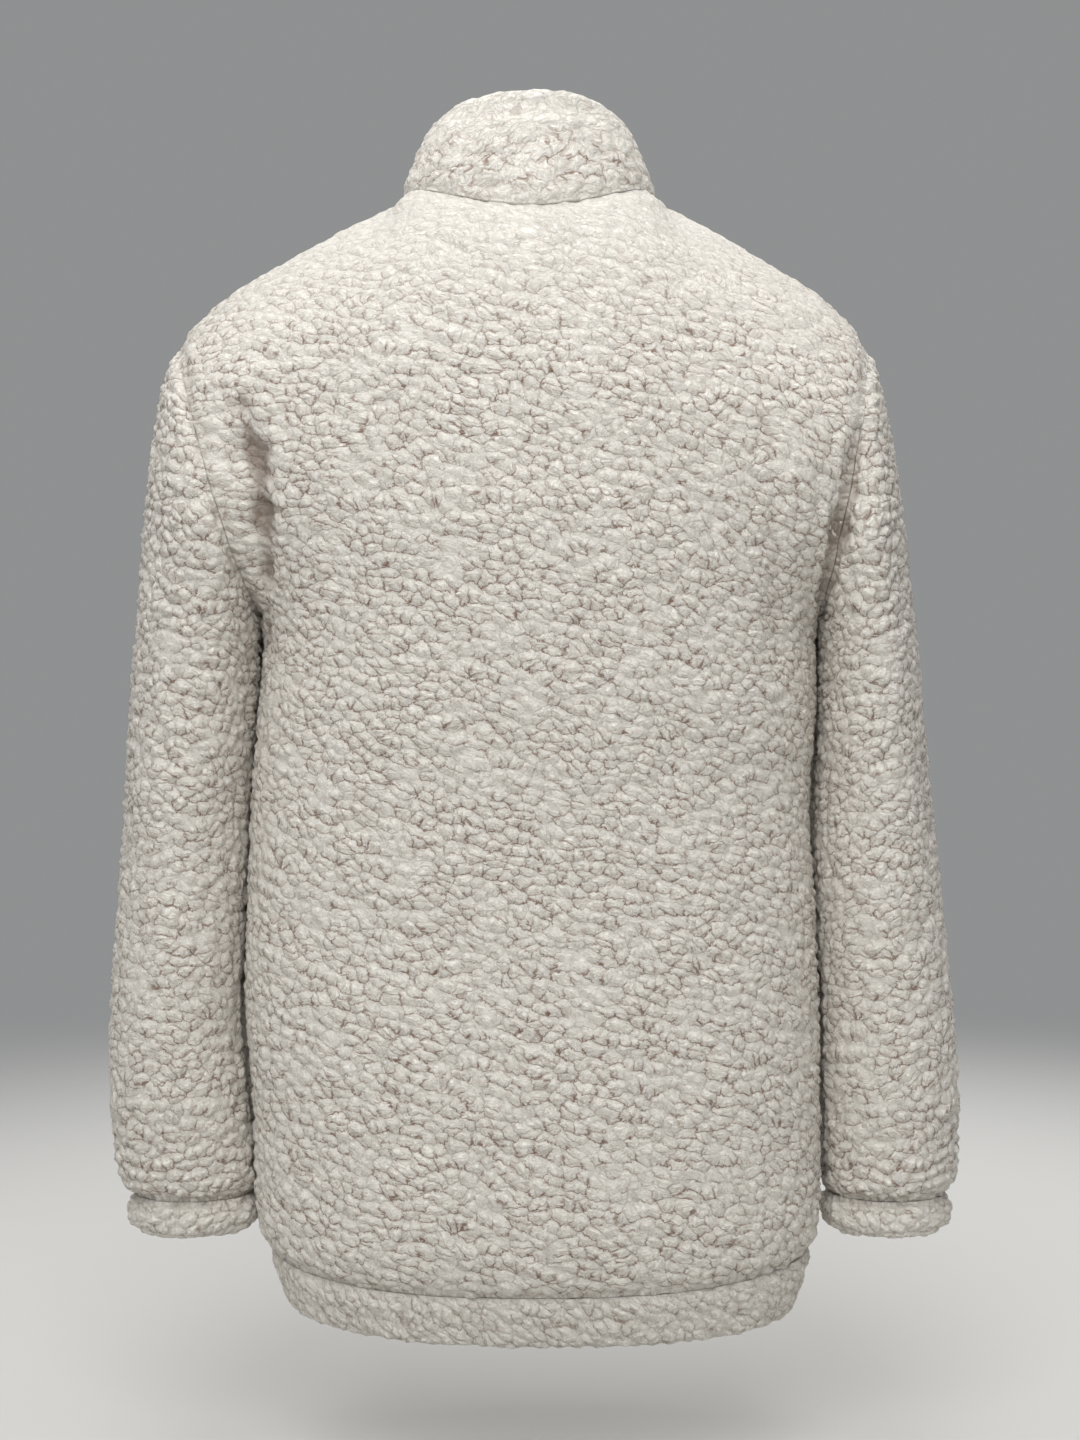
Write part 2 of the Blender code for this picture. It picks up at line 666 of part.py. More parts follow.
def box(bm, low, high):
    """A box in the zip's own axes: x across, y outward from the cloth, z up the zip."""
    made = bmesh.ops.create_cube(bm, size=1)["verts"]
    low, high = Vector(low), Vector(high)
    for v in made:
        v.co = Vector([(low[k] + high[k]) / 2 + v.co[k] * (high[k] - low[k]) for k in range(3)])


def union(boxes):
    """One closed body from boxes that run into each other."""
    objects = []
    for low, high in boxes:
        bm = bmesh.new()
        box(bm, low, high)
        mesh = bpy.data.meshes.new("piece")
        bm.to_mesh(mesh)
        bm.free()
        obj = bpy.data.objects.new("piece", mesh)
        COLLECTION.objects.link(obj)
        objects.append(obj)
    base = objects[0]
    for other in objects[1:]:
        mod = base.modifiers.new("join", "BOOLEAN")
        mod.operation = "UNION"
        mod.solver = "EXACT"
        mod.object = other
    bpy.context.view_layer.update()
    done = bpy.data.meshes.new_from_object(base.evaluated_get(bpy.context.evaluated_depsgraph_get()))
    for obj in objects:
        bpy.data.objects.remove(obj)
    bm = bmesh.new()
    bm.from_mesh(done)
    return bm


def make_slider(place):
    """Two plates joined above the chain, with a bail on the front one."""
    boxes = [
        ((-4.3, -4.4, -6.0), (4.3, -3.0, 6.0)),
        ((-4.1, -11.2, -6.0), (4.1, -10.0, 6.0)),
        ((-1.2, -10.6, 2.6), (1.2, -3.7, 5.4)),
        ((-0.9, -3.5, 3.3), (0.9, 0.6, 4.6)),
        ((-0.9, -3.5, -4.6), (0.9, 0.6, -3.3)),
        ((-0.9, -0.6, -4.5), (0.9, 0.7, 4.5)),
    ]
    bm = union(boxes)
    bm.transform(Matrix.Scale(MM, 4))
    slider = finish("zip_slider", bm, METAL, smooth=False)
    slider.matrix_world = place
    return slider


def make_pull(place):
    """A flat tab whose pin lies under the bail. Its origin is on the pin's axis."""
    bm = bmesh.new()
    half = 0.75
    outline = [(-3.2, 0.75), (3.2, 0.75), (3.2, -5.0), (3.6, -21.0)]
    outline += [(2.4, -23.0), (-2.4, -23.0), (-3.6, -21.0), (-3.2, -5.0)]
    window = [(-1.6, -0.75), (1.6, -0.75), (1.6, -4.6), (-1.6, -4.6)]
    layers = []
    for y in (-half, half):
        out = [bm.verts.new((x, y, z)) for x, z in outline]
        gap = [bm.verts.new((x, y, z)) for x, z in window]
        layers.append((out, gap))
    for out, gap in layers:
        a, b, c, e, f, g, h, k = out
        m, n, o, q = gap
        bm.faces.new([a, b, n, m])
        bm.faces.new([b, c, o, n])
        bm.faces.new([c, k, q, o])
        bm.faces.new([k, a, m, q])
        bm.faces.new([c, e, h, k])
        bm.faces.new([e, f, g, h])
    for k in range(2):
        loops = [layer[k] for layer in layers]
        count = len(loops[0])
        for i in range(count):
            bm.faces.new([loops[0][i], loops[0][(i + 1) % count], loops[1][(i + 1) % count], loops[1][i]])
    bmesh.ops.recalc_face_normals(bm, faces=bm.faces)
    bm.transform(Matrix.Scale(MM, 4))
    pull = finish("zip_pull", bm, METAL, smooth=False)
    pull.matrix_world = place @ Matrix.Translation(Vector(PIN) * MM)
    return pull


def zip_span(points, ways, skip_low, skip_high, length=None):
    """The part of the zip's line that starts and ends so far from its two ends."""
    step = np.linalg.norm(np.diff(points, axis=0), axis=-1)
    run = np.concatenate([[0], np.cumsum(step)])
    slider = run[SLIDER_AT]
    low = run[1] + skip_low
    high = low + length if length else slider - skip_high
    inside = run[(run > low + 1) & (run < high - 1)]
    at = np.concatenate([[low], inside, [high]])
    q = np.stack([np.interp(at, run, points[:, k]) for k in range(3)], -1)
    w = np.stack([np.interp(at, run, ways[:, k]) for k in range(3)], -1)
    return q, unit(w)


def zip_place(points, ways, at):
    """The slider's place and axes where it stands on the zip."""
    out = Vector(-ways[at])
    up = Vector(unit(points[at + 1] - points[at - 1]))
    out = (out - up * out.dot(up)).normalized()
    across = out.cross(up)
    m = Matrix((across, out, up)).transposed().to_4x4()
    m.translation = Vector(points[at]) * MM
    return m


for old in list(bpy.data.objects):
    bpy.data.objects.remove(old)
COLLECTION = bpy.data.collections.new("half_zip_pullover")
bpy.context.scene.collection.children.link(COLLECTION)
FLEECE = material("cream_curly_fleece", (0.74, 0.70, 0.63), 0.95)
TAPE = material("cream_woven_tape", (0.66, 0.62, 0.55), 0.8)
PLASTIC = material("cream_zip_teeth", (0.70, 0.66, 0.58), 0.4)
METAL = material("cream_painted_slider", (0.68, 0.65, 0.58), 0.35)

make_back()
FRONT = make_front()
for SIDE in (1, -1):
    RING, RING_D = make_sleeve(SIDE)
    make_cuff(SIDE, RING, RING_D)
make_hem()
COLLAR = make_collar()
ROWS = zip_line(FRONT, COLLAR)
PARTED = len(ROWS) - 3
make_tape("zip_tape_left", ROWS, 0, PARTED)
make_tape("zip_tape_right", ROWS, 1, PARTED)
POINTS, WAYS = middle_line(ROWS)
SLIDER_AT = len(ROWS) - 3
PLACE = zip_place(POINTS, WAYS, SLIDER_AT)
make_slider(PLACE)
make_pull(PLACE)
# The closed chain runs from above the bottom stop to the slider.
bar("zip_chain", PLASTIC, *zip_span(POINTS, WAYS, 7.0, 8.0), CHAIN_HALF, WALL - CHAIN_THICK, WALL)
bar("zip_bottom_stop", METAL, *zip_span(POINTS, WAYS, 2.5, None, 3.5), 3.2, WALL - 2.6, WALL)
bpy.context.view_layer.update()
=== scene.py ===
import math

import bmesh
import bpy
import numpy as np
from mathutils import Matrix, Vector
from mathutils.bvhtree import BVHTree
from mathutils.kdtree import KDTree


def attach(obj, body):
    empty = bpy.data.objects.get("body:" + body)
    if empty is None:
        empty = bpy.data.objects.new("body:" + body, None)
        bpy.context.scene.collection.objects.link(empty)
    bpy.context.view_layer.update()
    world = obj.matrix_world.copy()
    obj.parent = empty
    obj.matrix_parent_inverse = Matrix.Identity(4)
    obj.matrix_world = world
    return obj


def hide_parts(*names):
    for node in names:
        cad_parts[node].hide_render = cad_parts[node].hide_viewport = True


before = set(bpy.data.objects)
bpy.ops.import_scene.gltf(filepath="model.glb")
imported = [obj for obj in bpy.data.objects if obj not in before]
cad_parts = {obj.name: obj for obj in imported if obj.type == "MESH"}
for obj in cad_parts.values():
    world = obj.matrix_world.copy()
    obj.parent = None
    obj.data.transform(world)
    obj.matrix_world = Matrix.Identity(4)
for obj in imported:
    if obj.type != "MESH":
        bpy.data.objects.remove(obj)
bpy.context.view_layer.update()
MM = 0.001  # metres in a millimetre

# Back panel: one cut piece of curly sherpa fleece, a knitted polyester backing with a pile of small wool-like curls.
# It is sewn to the front down both sides and along the shoulders, and to the sleeves, the collar and the hem band.
# What the other fleece pieces need too is defined here.


def linear(hex_colour):
    """An sRGB hex colour as linear red, green, blue and alpha."""
    parts = [int(hex_colour[i:i + 2], 16) / 255 for i in (1, 3, 5)]
    return tuple(c / 12.92 if c <= 0.04045 else ((c + 0.055) / 1.055) ** 2.4 for c in parts) + (1.0,)


def add(tree, kind, settings=None, **links):
    """Add a node, set its settings, and fill or link its inputs by name (in_0 is input number 0)."""
    node = tree.nodes.new(kind)
    for key, value in (settings or {}).items():
        setattr(node, key, value)
    for key, value in links.items():
        at = int(key[3:]) if key.startswith("in_") else key.replace("_", " ")
        if isinstance(value, bpy.types.NodeSocket):
            tree.links.new(value, node.inputs[at])
        else:
            node.inputs[at].default_value = value
    return node


CURL = 6.0  # mm across the lie of the pile; a curl is about half as long again along it
DRAWN = 24.0  # mm between the long cracks where the backing is drawn up, before they are drawn out

TOPS = 0.85  # share of the pile's depth that lies under the piece's own surface


def curls(tree, at):
    """How far a point lies from the edge of its curl, and of its tuft in the curl."""
    found = []
    for scale in (1.0, 2.1):
        cells = add(tree, "ShaderNodeTexVoronoi", {"feature": "DISTANCE_TO_EDGE", "voronoi_dimensions": "2D"},
                    Vector=at, Scale=scale / CURL)
        found.append(cells.outputs["Distance"])
    return found


def pile_maker():
    """The pile as geometry: every outer point drops by how far it lies from a curl's top."""
    tree = bpy.data.node_groups.new("curly_pile", "GeometryNodeTree")
    tree.interface.new_socket("Mesh", in_out="INPUT", socket_type="NodeSocketGeometry")
    tree.interface.new_socket("Mesh", in_out="OUTPUT", socket_type="NodeSocketGeometry")
    given = add(tree, "NodeGroupInput")
    place = add(tree, "GeometryNodeInputPosition")
    in_mm = add(tree, "ShaderNodeVectorMath", {"operation": "SCALE"}, in_0=place.outputs[0], Scale=1000.0)
    lay = add(tree, "GeometryNodeInputNamedAttribute", {"data_type": "FLOAT_VECTOR"}, Name="lay")
    total = lay.outputs[0]
    # The rows of curls wander: waves in a mm, and how many mm they reach.
    for scale, reach in ((0.03, 10.0), (0.11, 4.5), (0.35, 2.0)):
        wander = add(tree, "ShaderNodeTexNoise", {"noise_dimensions": "3D"}, Vector=in_mm.outputs[0], Scale=scale,
                     Detail=1.0)
        about = add(tree, "ShaderNodeVectorMath", {"operation": "SUBTRACT"}, in_0=wander.outputs["Color"],
                    in_1=(0.5, 0.5, 0.5))
        moved = add(tree, "ShaderNodeVectorMath", {"operation": "SCALE"}, in_0=about.outputs[0], Scale=reach)
        total = add(tree, "ShaderNodeVectorMath", {"operation": "ADD"}, in_0=total, in_1=moved.outputs[0]).outputs[0]
    # Here and there the backing is drawn up along a row, and a long crack opens.
    drawn_out = add(tree, "ShaderNodeVectorMath", {"operation": "MULTIPLY"}, in_0=total, in_1=(0.5, 1.5, 1.0))
    chain = add(tree, "ShaderNodeTexVoronoi", {"feature": "DISTANCE_TO_EDGE", "voronoi_dimensions": "2D"},
                Vector=drawn_out.outputs[0], Scale=1 / DRAWN)
    drawn = add(tree, "ShaderNodeMapRange", {"interpolation_type": "SMOOTHSTEP"}, in_0=chain.outputs["Distance"],
                in_1=0.13, in_2=0.0, in_3=0.0, in_4=0.8)
    chance = add(tree, "ShaderNodeTexNoise", {"noise_dimensions": "3D"}, Vector=in_mm.outputs[0], Scale=0.035,
                 Detail=2.0, Roughness=0.6)
    patch = add(tree, "ShaderNodeMapRange", in_0=chance.outputs[0], in_1=0.36, in_2=0.66, in_3=0.0, in_4=0.8)
    open_ = add(tree, "ShaderNodeMath", {"operation": "MULTIPLY_ADD", "use_clamp": True}, in_0=drawn.outputs[0],
                in_1=patch.outputs[0], in_2=patch.outputs[0])
    _, tuft = curls(tree, total)
    # A curl is a low dome, split into tufts, and some curls stand higher than others.
    cells = add(tree, "ShaderNodeTexVoronoi", {"feature": "SMOOTH_F1", "voronoi_dimensions": "2D"}, Vector=total,
                Scale=1 / CURL, Smoothness=0.3)
    dome = add(tree, "ShaderNodeMapRange", {"interpolation_type": "SMOOTHSTEP"}, in_0=cells.outputs["Distance"],
               in_1=0.75, in_2=0.1, in_3=0.0, in_4=1.0)
    split = add(tree, "ShaderNodeMapRange", {"interpolation_type": "SMOOTHSTEP"}, in_0=tuft, in_1=0.0, in_2=0.3,
                in_3=0.65, in_4=1.0)
    lumps = add(tree, "ShaderNodeTexNoise", {"noise_dimensions": "3D"}, Vector=in_mm.outputs[0], Scale=0.09,
                Detail=1.0)
    stand = add(tree, "ShaderNodeMapRange", in_0=lumps.outputs[0], in_1=0.3, in_2=0.7, in_3=0.55, in_4=1.0)
    height = add(tree, "ShaderNodeMath", {"operation": "MULTIPLY"}, in_0=dome.outputs[0], in_1=split.outputs[0])
    height = add(tree, "ShaderNodeMath", {"operation": "MULTIPLY"}, in_0=height.outputs[0], in_1=stand.outputs[0])
    sunk = add(tree, "ShaderNodeMath", {"operation": "MULTIPLY_ADD"}, in_0=drawn.outputs[0], in_1=-0.45,
               in_2=height.outputs[0])
    pile = add(tree, "GeometryNodeInputNamedAttribute", {"data_type": "FLOAT"}, Name="pile")
    drop = add(tree, "ShaderNodeMath", {"operation": "SUBTRACT"}, in_0=sunk.outputs[0], in_1=TOPS)
    depth = add(tree, "ShaderNodeMath", {"operation": "MULTIPLY"}, in_0=drop.outputs[0], in_1=pile.outputs[0])
    way = add(tree, "GeometryNodeInputNamedAttribute", {"data_type": "FLOAT_VECTOR"}, Name="way")
    step = add(tree, "ShaderNodeVectorMath", {"operation": "SCALE"}, in_0=way.outputs[0], Scale=depth.outputs[0])
    keep = add(tree, "GeometryNodeStoreNamedAttribute", {"data_type": "FLOAT_VECTOR", "domain": "POINT"},
               Geometry=given.outputs[0], Name="pile_at", Value=total)
    keep = add(tree, "GeometryNodeStoreNamedAttribute", {"data_type": "FLOAT", "domain": "POINT"},
               Geometry=keep.outputs[0], Name="open", Value=open_.outputs[0])
    push = add(tree, "GeometryNodeSetPosition", Geometry=keep.outputs[0], Offset=step.outputs[0])
    add(tree, "NodeGroupOutput", Mesh=push.outputs[0])
    return tree


def sherpa():
    """Curly polyester sherpa, brushed and tumbled: soft matt tops, with warm brownish painted shade down in the
    cracks and creases.
    """
    mat = bpy.data.materials.new("sherpa_fleece")
    mat.use_nodes = True
    tree = mat.node_tree
    tree.nodes.clear()
    at = add(tree, "ShaderNodeAttribute", {"attribute_name": "pile_at"})
    deep = add(tree, "ShaderNodeAttribute", {"attribute_name": "pile"})
    open_ = add(tree, "ShaderNodeAttribute", {"attribute_name": "open"})
    hollow_shade = add(tree, "ShaderNodeAttribute", {"attribute_name": "hollow_shade"})
    ragged = add(tree, "ShaderNodeTexNoise", {"noise_dimensions": "2D"}, Vector=at.outputs["Vector"], Scale=0.45,
                 Detail=2.0, Roughness=0.65)
    about = add(tree, "ShaderNodeVectorMath", {"operation": "SUBTRACT"}, in_0=ragged.outputs["Color"],
                in_1=(0.5, 0.5, 0.5))
    total = add(tree, "ShaderNodeVectorMath", {"operation": "MULTIPLY_ADD"}, in_0=about.outputs[0],
                in_1=(3.2, 3.2, 0.0), in_2=at.outputs["Vector"])
    edge, tuft = curls(tree, total.outputs[0])
    curl = add(tree, "ShaderNodeTexVoronoi", {"voronoi_dimensions": "2D"}, Vector=total.outputs[0], Scale=1 / CURL)
    off = add(tree, "ShaderNodeVectorMath", {"operation": "SUBTRACT"}, in_0=total.outputs[0],
              in_1=curl.outputs["Position"])
    part = add(tree, "ShaderNodeSeparateXYZ", Vector=off.outputs[0])
    # Painted shadow: a crack is drawn darkest on the lower side of its curl, as if shaded by the curl from light
    # above.
    below = add(tree, "ShaderNodeMapRange", {"interpolation_type": "SMOOTHSTEP"}, in_0=part.outputs[1],
                in_1=0.3 * CURL, in_2=-0.3 * CURL, in_3=0.25, in_4=1.0)
    # Short, smooth pile shows hardly any cracks.
    calm = add(tree, "ShaderNodeMapRange", in_0=deep.outputs["Fac"], in_1=0.9 * MM, in_2=2.2 * MM, in_3=0.0, in_4=1.0)
    # Cracks lie under the curls as painted shade, darkest along the lower side of each curl, come and go, and the
    # long ones run through many curls.
    chance = add(tree, "ShaderNodeTexNoise", {"noise_dimensions": "2D"}, Vector=at.outputs["Vector"], Scale=0.13,
                 Detail=1.0)
    some = add(tree, "ShaderNodeMapRange", in_0=chance.outputs[0], in_1=0.38, in_2=0.62, in_3=0.2, in_4=0.85)
    force = add(tree, "ShaderNodeMath", {"operation": "MULTIPLY_ADD", "use_clamp": True}, in_0=open_.outputs["Fac"],
                in_1=0.8, in_2=some.outputs[0])
    width = add(tree, "ShaderNodeMapRange", in_0=force.outputs[0], in_1=0.0, in_2=1.0, in_3=0.05, in_4=0.16)
    crack = add(tree, "ShaderNodeMapRange", {"interpolation_type": "SMOOTHSTEP"}, in_0=edge, in_1=width.outputs[0],
                in_2=0.0, in_3=0.0, in_4=1.0)
    # Thinner, fainter cracks of painted shade part the tufts in a curl.
    fine = add(tree, "ShaderNodeMapRange", {"interpolation_type": "SMOOTHSTEP"}, in_0=tuft, in_1=0.14, in_2=0.0,
               in_3=0.0, in_4=0.45)
    shown = add(tree, "ShaderNodeMath", {"operation": "MAXIMUM"}, in_0=crack.outputs[0],
                in_1=fine.outputs[0]).outputs[0]
    for by in (force.outputs[0], calm.outputs[0], below.outputs[0]):
        shown = add(tree, "ShaderNodeMath", {"operation": "MULTIPLY"}, in_0=shown, in_1=by).outputs[0]
    # Single fibres are 0.02 mm thick. They are drawn as 0.6 mm wisps that turn with their curl, so that they show.
    turn = add(tree, "ShaderNodeMath", {"operation": "MULTIPLY_ADD"}, in_0=curl.outputs["Distance"], in_1=2.5,
               in_2=curl.outputs["Color"])
    turned = add(tree, "ShaderNodeVectorRotate", {"rotation_type": "Z_AXIS"}, Vector=off.outputs[0],
                 Angle=turn.outputs[0])
    drawn = add(tree, "ShaderNodeVectorMath", {"operation": "MULTIPLY"}, in_0=turned.outputs[0],
                in_1=(0.35, 1.2, 1.0))
    strands = add(tree, "ShaderNodeTexNoise", {"noise_dimensions": "2D"}, Vector=drawn.outputs[0], Scale=0.8,
                  Detail=2.0, Roughness=0.7)
    wisps = add(tree, "ShaderNodeTexNoise", {"noise_dimensions": "2D"}, Vector=total.outputs[0], Scale=0.7,
                Detail=3.0, Roughness=0.8)
    fibre = add(tree, "ShaderNodeMath", {"operation": "ADD"}, in_0=strands.outputs[0], in_1=wisps.outputs[0])
    tone = add(tree, "ShaderNodeMapRange", in_0=fibre.outputs[0], in_1=0.7, in_2=1.3, in_3=0.0, in_4=1.0)
    tops = add(tree, "ShaderNodeMix", {"data_type": "RGBA"}, in_0=tone.outputs[0], in_6=linear("#D3CDC2"),
               in_7=linear("#FBF8F1"))
    # Painted shade: the cracks take a dark warm brown where shade falls down between the curls.
    colour = add(tree, "ShaderNodeMix", {"data_type": "RGBA"}, in_0=shown, in_6=tops.outputs[2],
                 in_7=linear("#806352"))
    # Down in creases and seams the colour darkens as painted shade, together with the darker roots of the pile and
    # the backing that show there.
    shade_and_roots = add(tree, "ShaderNodeMath", {"operation": "MULTIPLY"}, in_0=hollow_shade.outputs["Fac"], in_1=0.75)
    colour = add(tree, "ShaderNodeMix", {"data_type": "RGBA"}, in_0=shade_and_roots.outputs[0], in_6=colour.outputs[2],
                 in_7=linear("#7D6A5C"))
    round_ = add(tree, "ShaderNodeMapRange", {"interpolation_type": "SMOOTHSTEP"}, in_0=edge, in_1=0.0, in_2=0.3,
                 in_3=0.0, in_4=1.0)
    sunk = add(tree, "ShaderNodeMath", {"operation": "MULTIPLY"}, in_0=round_.outputs[0], in_1=force.outputs[0])
    split = add(tree, "ShaderNodeMath", {"operation": "MULTIPLY_ADD"}, in_0=tuft, in_1=0.5, in_2=sunk.outputs[0])
    relief = add(tree, "ShaderNodeMath", {"operation": "MULTIPLY_ADD"}, in_0=fibre.outputs[0], in_1=1.9,
                 in_2=split.outputs[0])
    bump = add(tree, "ShaderNodeBump", Strength=0.7, Distance=1.0 * MM, Height=relief.outputs[0])
    shader = add(tree, "ShaderNodeBsdfPrincipled", Base_Color=colour.outputs[2], Normal=bump.outputs[0])
    shader.inputs["Roughness"].default_value = 0.95
    shader.inputs["Specular IOR Level"].default_value = 0.15
    shader.inputs["Sheen Weight"].default_value = 0.3
    shader.inputs["Sheen Roughness"].default_value = 0.6
    shader.inputs["Sheen Tint"].default_value = linear("#FFF8EC")
    add(tree, "ShaderNodeOutputMaterial", Surface=shader.outputs[0])
    return mat


def backing():
    """Knitted polyester backing on the wrong side: fine plain-knit ribs with a dull, even cream."""
    mat = bpy.data.materials.new("knitted_backing")
    mat.use_nodes = True
    tree = mat.node_tree
    tree.nodes.clear()
    at = add(tree, "ShaderNodeTexCoord")
    # Wales of 1.2 mm, drawn at 2.4 mm so that they show.
    wales = add(tree, "ShaderNodeTexWave", {"wave_type": "BANDS", "bands_direction": "X"},
                Vector=at.outputs["Object"], Scale=66.0, Distortion=0.6, Detail=1.0)
    courses = add(tree, "ShaderNodeTexWave", {"wave_type": "BANDS", "bands_direction": "Z"},
                  Vector=at.outputs["Object"], Scale=90.0, Distortion=0.8, Detail=1.0)
    loops = add(tree, "ShaderNodeMath", {"operation": "MULTIPLY"}, in_0=wales.outputs["Fac"],
                in_1=courses.outputs["Fac"])
    colour = add(tree, "ShaderNodeMix", {"data_type": "RGBA"}, in_0=loops.outputs[0], in_6=linear("#CFC6B8"),
                 in_7=linear("#DDD6C9"))
    bump = add(tree, "ShaderNodeBump", Strength=0.4, Distance=0.3 * MM, Height=loops.outputs[0])
    shader = add(tree, "ShaderNodeBsdfPrincipled", Base_Color=colour.outputs[2], Normal=bump.outputs[0])
    shader.inputs["Roughness"].default_value = 0.85
    shader.inputs["Specular IOR Level"].default_value = 0.2
    shader.inputs["Sheen Weight"].default_value = 0.15
    add(tree, "ShaderNodeOutputMaterial", Surface=shader.outputs[0])
    return mat


fleece = sherpa()
knit = backing()
pile_tree = pile_maker()


def cut_flat(piece):
    """Lay the outer side of a piece out flat, split along its marked seams, as a cutter would."""
    bpy.context.view_layer.objects.active = piece
    bpy.ops.object.mode_set(mode="EDIT")
    bpy.ops.uv.unwrap(method="ANGLE_BASED")
    bpy.ops.object.mode_set(mode="OBJECT")


# The main creases where the cloth folds at the underarms, neck and elbows, in mm: from and to, how wide,
# how deep, and how much steeper one side is.
CREASES = [
    ((166, 80, -134), (155, 80, -162), 8, 5.0, -0.5),
    ((155, 80, -162), (152, 76, -195), 9, 7.5, -0.45),
    ((152, 76, -195), (152, 62, -223), 8, 6.5, -0.45),
    ((152, 62, -223), (157, 32, -267), 6, 4.0, -0.5),
    ((192, 71, -133), (159, 82, -129), 4, 2.6, 0.3),
    ((-186, 80, -150), (-175, 70, -205), 7, 4.0, 0.5),
    ((-175, 70, -205), (-170, 45, -238), 7, 5.0, 0.5),
    ((-133, 91, -140), (-139, 68, -274), 9, 2.2, 0.0),
    ((-187, 74, -188), (-206, 67, -192), 4, 2.4, 0.4),
    ((-183, 70, -210), (-204, 62, -207), 4, 2.0, 0.4),
    ((-178, 58, -236), (-202, 60, -240), 4, 2.4, 0.4),
    ((46, 47, 38), (7, 61, 40), 4, 2.0, 0.3),
    ((7, 61, 40), (-37, 50, 42), 4, 2.0, 0.3),
    ((39, 62, 0), (4, 71, -11), 3, 1.8, 0.2),
    ((-16, 68, 1), (-27, 66, -9), 3, 1.6, 0.0),
    ((184, -72, -145), (173, -63, -198), 7, 4.0, -0.5),
    ((173, -63, -198), (166, -48, -232), 7, 4.5, -0.5),
    ((-184, -72, -145), (-176, -63, -198), 7, 4.5, 0.5),
    ((-176, -63, -198), (-169, -50, -232), 7, 4.5, 0.5),
    ((133, -84, -148), (152, -80, -178), 8, 2.0, 0.0),
    ((-130, -84, -140), (-152, -78, -182), 8, 2.2, 0.0),
    ((207, 62, -303), (179, 44, -308), 5, 2.2, 0.3),
    ((212, 57, -338), (177, 31, -344), 5, 2.4, 0.3),
    ((-204, 65, -297), (-181, 44, -302), 5, 2.2, 0.3),
    ((-209, 53, -408), (-186, 41, -421), 5, 2.2, 0.3),
    ((206, -71, -303), (178, -50, -305), 5, 2.2, 0.3),
    ((-209, -70, -312), (-181, -48, -308), 5, 2.4, 0.3),
]


def crease_shift(c):
    """How creases move points in mm, uneven along their length, towards the middle of the body."""
    depth = np.zeros(len(c))
    for a, b, width, deep, lean in CREASES:
        a, b = np.array(a, float), np.array(b, float)
        t = (c - a) @ (b - a) / ((b - a) @ (b - a))
        off = np.linalg.norm(c - a - np.clip(t, 0, 1)[:, None] * (b - a), axis=1)
        off += 0.15 * width * np.sin(c @ (0.31, 0.27, 0.23) + deep)
        side = (c[:, 0] - a[0]) * (b[2] - a[2]) - (c[:, 2] - a[2]) * (b[0] - a[0])
        wide = width * (1 + lean * np.tanh(side / np.hypot(*(b - a)[[0, 2]]) / 4))
        uneven = 1 + 0.15 * np.sin(c @ (0.09, 0.05, 0.12) + width)
        depth += deep * uneven * (np.exp(-(off / wide) ** 2) - 0.25 * np.exp(-((off - 2 * wide) / wide) ** 2))
    ways = c * np.where(np.abs(c[:, :1]) > 100, (-0.12, -1.0, 0.0), (-1.0, -1.0, 0.0))
    return ways / (np.linalg.norm(ways, axis=1) + 1)[:, None] * depth[:, None], depth


PILE, INSIDE, SEWN = 0, 1, 2  # the pile side of a piece, its wrong side, and its edges that are sewn to others
SEAM_REACH = 0.6  # mm; two sewn edges lie 0.3 mm apart
SLIT_Y = -0.004  # where a sleeve's or band's own seam runs, just in front of the middle of the body


def smooth_copy(name):
    """A rounded copy of a CAD solid as a new piece, with its sewn edges marked and kept sharp."""
    bm = bmesh.new()
    bm.from_mesh(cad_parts[name].data)
    bmesh.ops.remove_doubles(bm, verts=bm.verts, dist=0.00001)
    beside = [BVHTree.FromPolygons([v.co for v in o.data.vertices], [p.vertices for p in o.data.polygons])
              for n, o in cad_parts.items() if n != name and not n.startswith("zip")]
    for f in bm.faces:
        at = f.calc_center_median()
        f.material_index = SEWN if any(t.find_nearest(at, SEAM_REACH * MM)[0] for t in beside) else PILE
    bmesh.ops.join_triangles(bm, faces=bm.faces, cmp_materials=True, angle_face_threshold=0.9,
                             angle_shape_threshold=1.3)
    sharp = bm.edges.layers.float.new("crease_edge")
    for e in bm.edges:
        kinds = {f.material_index for f in e.link_faces}
        if len(kinds) == 2 or e.calc_face_angle(0.0) > math.radians(35 if kinds == {SEWN} else 60):
            e[sharp] = 1.0
    mesh = bpy.data.meshes.new(name + "_fleece")
    bm.to_mesh(mesh)
    bm.free()
    piece = bpy.data.objects.new(name + "_fleece", mesh)
    bpy.context.scene.collection.objects.link(piece)
    round_ = piece.modifiers.new("round", "SUBSURF")
    round_.levels = round_.render_levels = 1
    mesh = bpy.data.meshes.new_from_object(piece.evaluated_get(bpy.context.evaluated_depsgraph_get()))
    piece.modifiers.clear()
    return piece, mesh


def largest_stretch(faces):
    """The largest joined stretch of these faces. The others are put on the wrong side."""
    left, main = set(faces), set()
    while left:
        stretch, edge_of = set(), [left.pop()]
        while edge_of:
            f = edge_of.pop()
            stretch.add(f)
            beyond = [g for e in f.edges for g in e.link_faces if g in left]
            left.difference_update(beyond)
            edge_of += beyond
        small, main = sorted((stretch, main), key=len)
        for f in small:
            f.material_index = INSIDE
    return main


def ways_through(bm):
    """The ways out through the cloth along the sewn edges, in the plane of the seam, and a tree of their places."""
    places, ways = [], []
    for v in bm.verts:
        down = [e.other_vert(v).co - v.co for e in v.link_edges
                if all(f.material_index == SEWN for f in e.link_faces)]
        if down and any(f.material_index == PILE for f in v.link_faces):
            places.append(v.co)
            ways.append(-sum((d.normalized() for d in down), Vector()).normalized())
    tree = KDTree(len(places))
    for i, place in enumerate(places):
        tree.insert(place, i)
    tree.balance()
    return tree, ways


